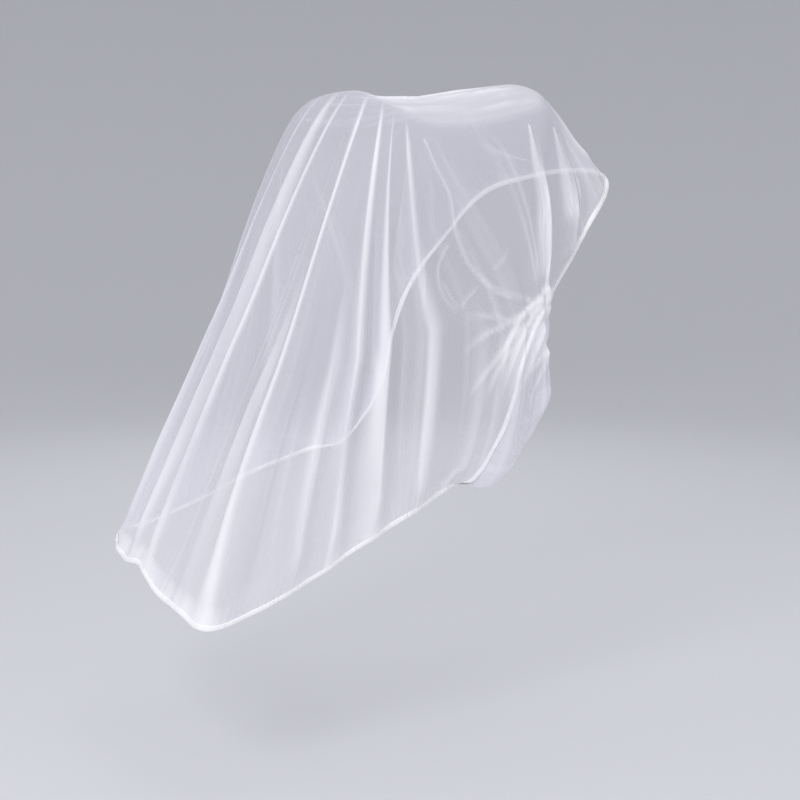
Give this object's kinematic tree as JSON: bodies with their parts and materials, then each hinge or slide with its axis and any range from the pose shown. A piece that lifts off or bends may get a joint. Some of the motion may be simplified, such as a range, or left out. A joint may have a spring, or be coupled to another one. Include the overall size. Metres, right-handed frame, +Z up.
{
  "type": "stroller mosquito net",
  "caption": "White tulle mosquito net with an elastic edge binding, hung over a stroller hood and drawn in round the seat down to the footrest.",
  "frame": {"origin": "underside of the net at the middle of its top, between the hood's two bows, where the hood carries it", "axes": "+X from the footrest back to the handle, +Y to the stroller's far side in the picture, +Z up"},
  "size_m": [0.7944, 0.5059, 0.7516],
  "materials": {
    "tulle": "sheer white polyester tulle",
    "elastic": "matt white folded elastic"
  },
  "bodies": {
    "root": {"net": "tulle", "elastic_binding": "elastic"}
  },
  "joints": []
}
